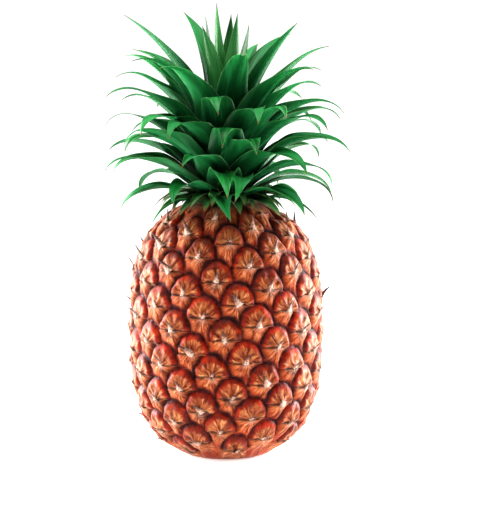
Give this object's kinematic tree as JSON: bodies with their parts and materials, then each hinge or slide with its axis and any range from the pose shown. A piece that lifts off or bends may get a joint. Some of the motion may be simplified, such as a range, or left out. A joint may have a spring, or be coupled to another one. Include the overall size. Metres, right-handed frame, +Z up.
{
  "type": "pineapple",
  "caption": "Whole pineapple standing upright on its cut base: a barrel-shaped fruit with spiral eyes under a full crown of arching pointed leaves.",
  "frame": {"origin": "centre of the flat cut base that the fruit stands on", "axes": "+Z up through the fruit and the crown, -Y towards the viewer of the front, +X to the right"},
  "size_m": [0.1586, 0.157, 0.2929],
  "materials": {
    "rind": "waxy, semi-gloss, rough eyes",
    "stalk": "dry cut fibre, matte",
    "crown_heart": "fresh stem, matte",
    "leaf_green": "waxy, satin",
    "young_leaf_green": "waxy, satin"
  },
  "bodies": {
    "root": {"fruit": "rind", "stem_stub": "stalk", "crown_stem": "crown_heart", "leaf_01": "leaf_green", "leaf_02": "leaf_green", "leaf_03": "leaf_green", "leaf_04": "leaf_green", "leaf_05": "leaf_green", "leaf_06": "leaf_green", "leaf_07": "leaf_green", "leaf_08": "leaf_green", "leaf_09": "leaf_green", "leaf_10": "leaf_green", "leaf_11": "leaf_green", "leaf_12": "leaf_green", "leaf_13": "leaf_green", "leaf_14": "leaf_green", "leaf_15": "leaf_green", "leaf_16": "leaf_green", "leaf_17": "leaf_green", "leaf_18": "leaf_green", "leaf_19": "leaf_green", "leaf_20": "leaf_green", "leaf_21": "leaf_green", "leaf_22": "leaf_green", "leaf_23": "leaf_green", "leaf_24": "leaf_green", "leaf_25": "leaf_green", "leaf_26": "leaf_green", "leaf_27": "leaf_green", "leaf_28": "leaf_green", "leaf_29": "leaf_green", "leaf_30": "leaf_green", "leaf_31": "leaf_green", "leaf_32": "leaf_green", "leaf_33": "leaf_green", "leaf_34": "leaf_green", "leaf_35": "leaf_green", "leaf_36": "leaf_green", "leaf_37": "leaf_green", "leaf_38": "leaf_green", "leaf_39": "leaf_green", "leaf_40": "leaf_green", "leaf_41": "leaf_green", "leaf_42": "leaf_green", "leaf_43": "leaf_green", "leaf_44": "leaf_green", "leaf_45": "leaf_green", "leaf_46": "leaf_green", "leaf_47": "leaf_green", "leaf_48": "leaf_green", "leaf_49": "leaf_green", "leaf_50": "leaf_green", "leaf_51": "leaf_green", "leaf_52": "leaf_green", "leaf_53": "leaf_green", "leaf_54": "young_leaf_green", "leaf_55": "young_leaf_green", "leaf_56": "young_leaf_green", "leaf_57": "young_leaf_green"}
  },
  "joints": []
}
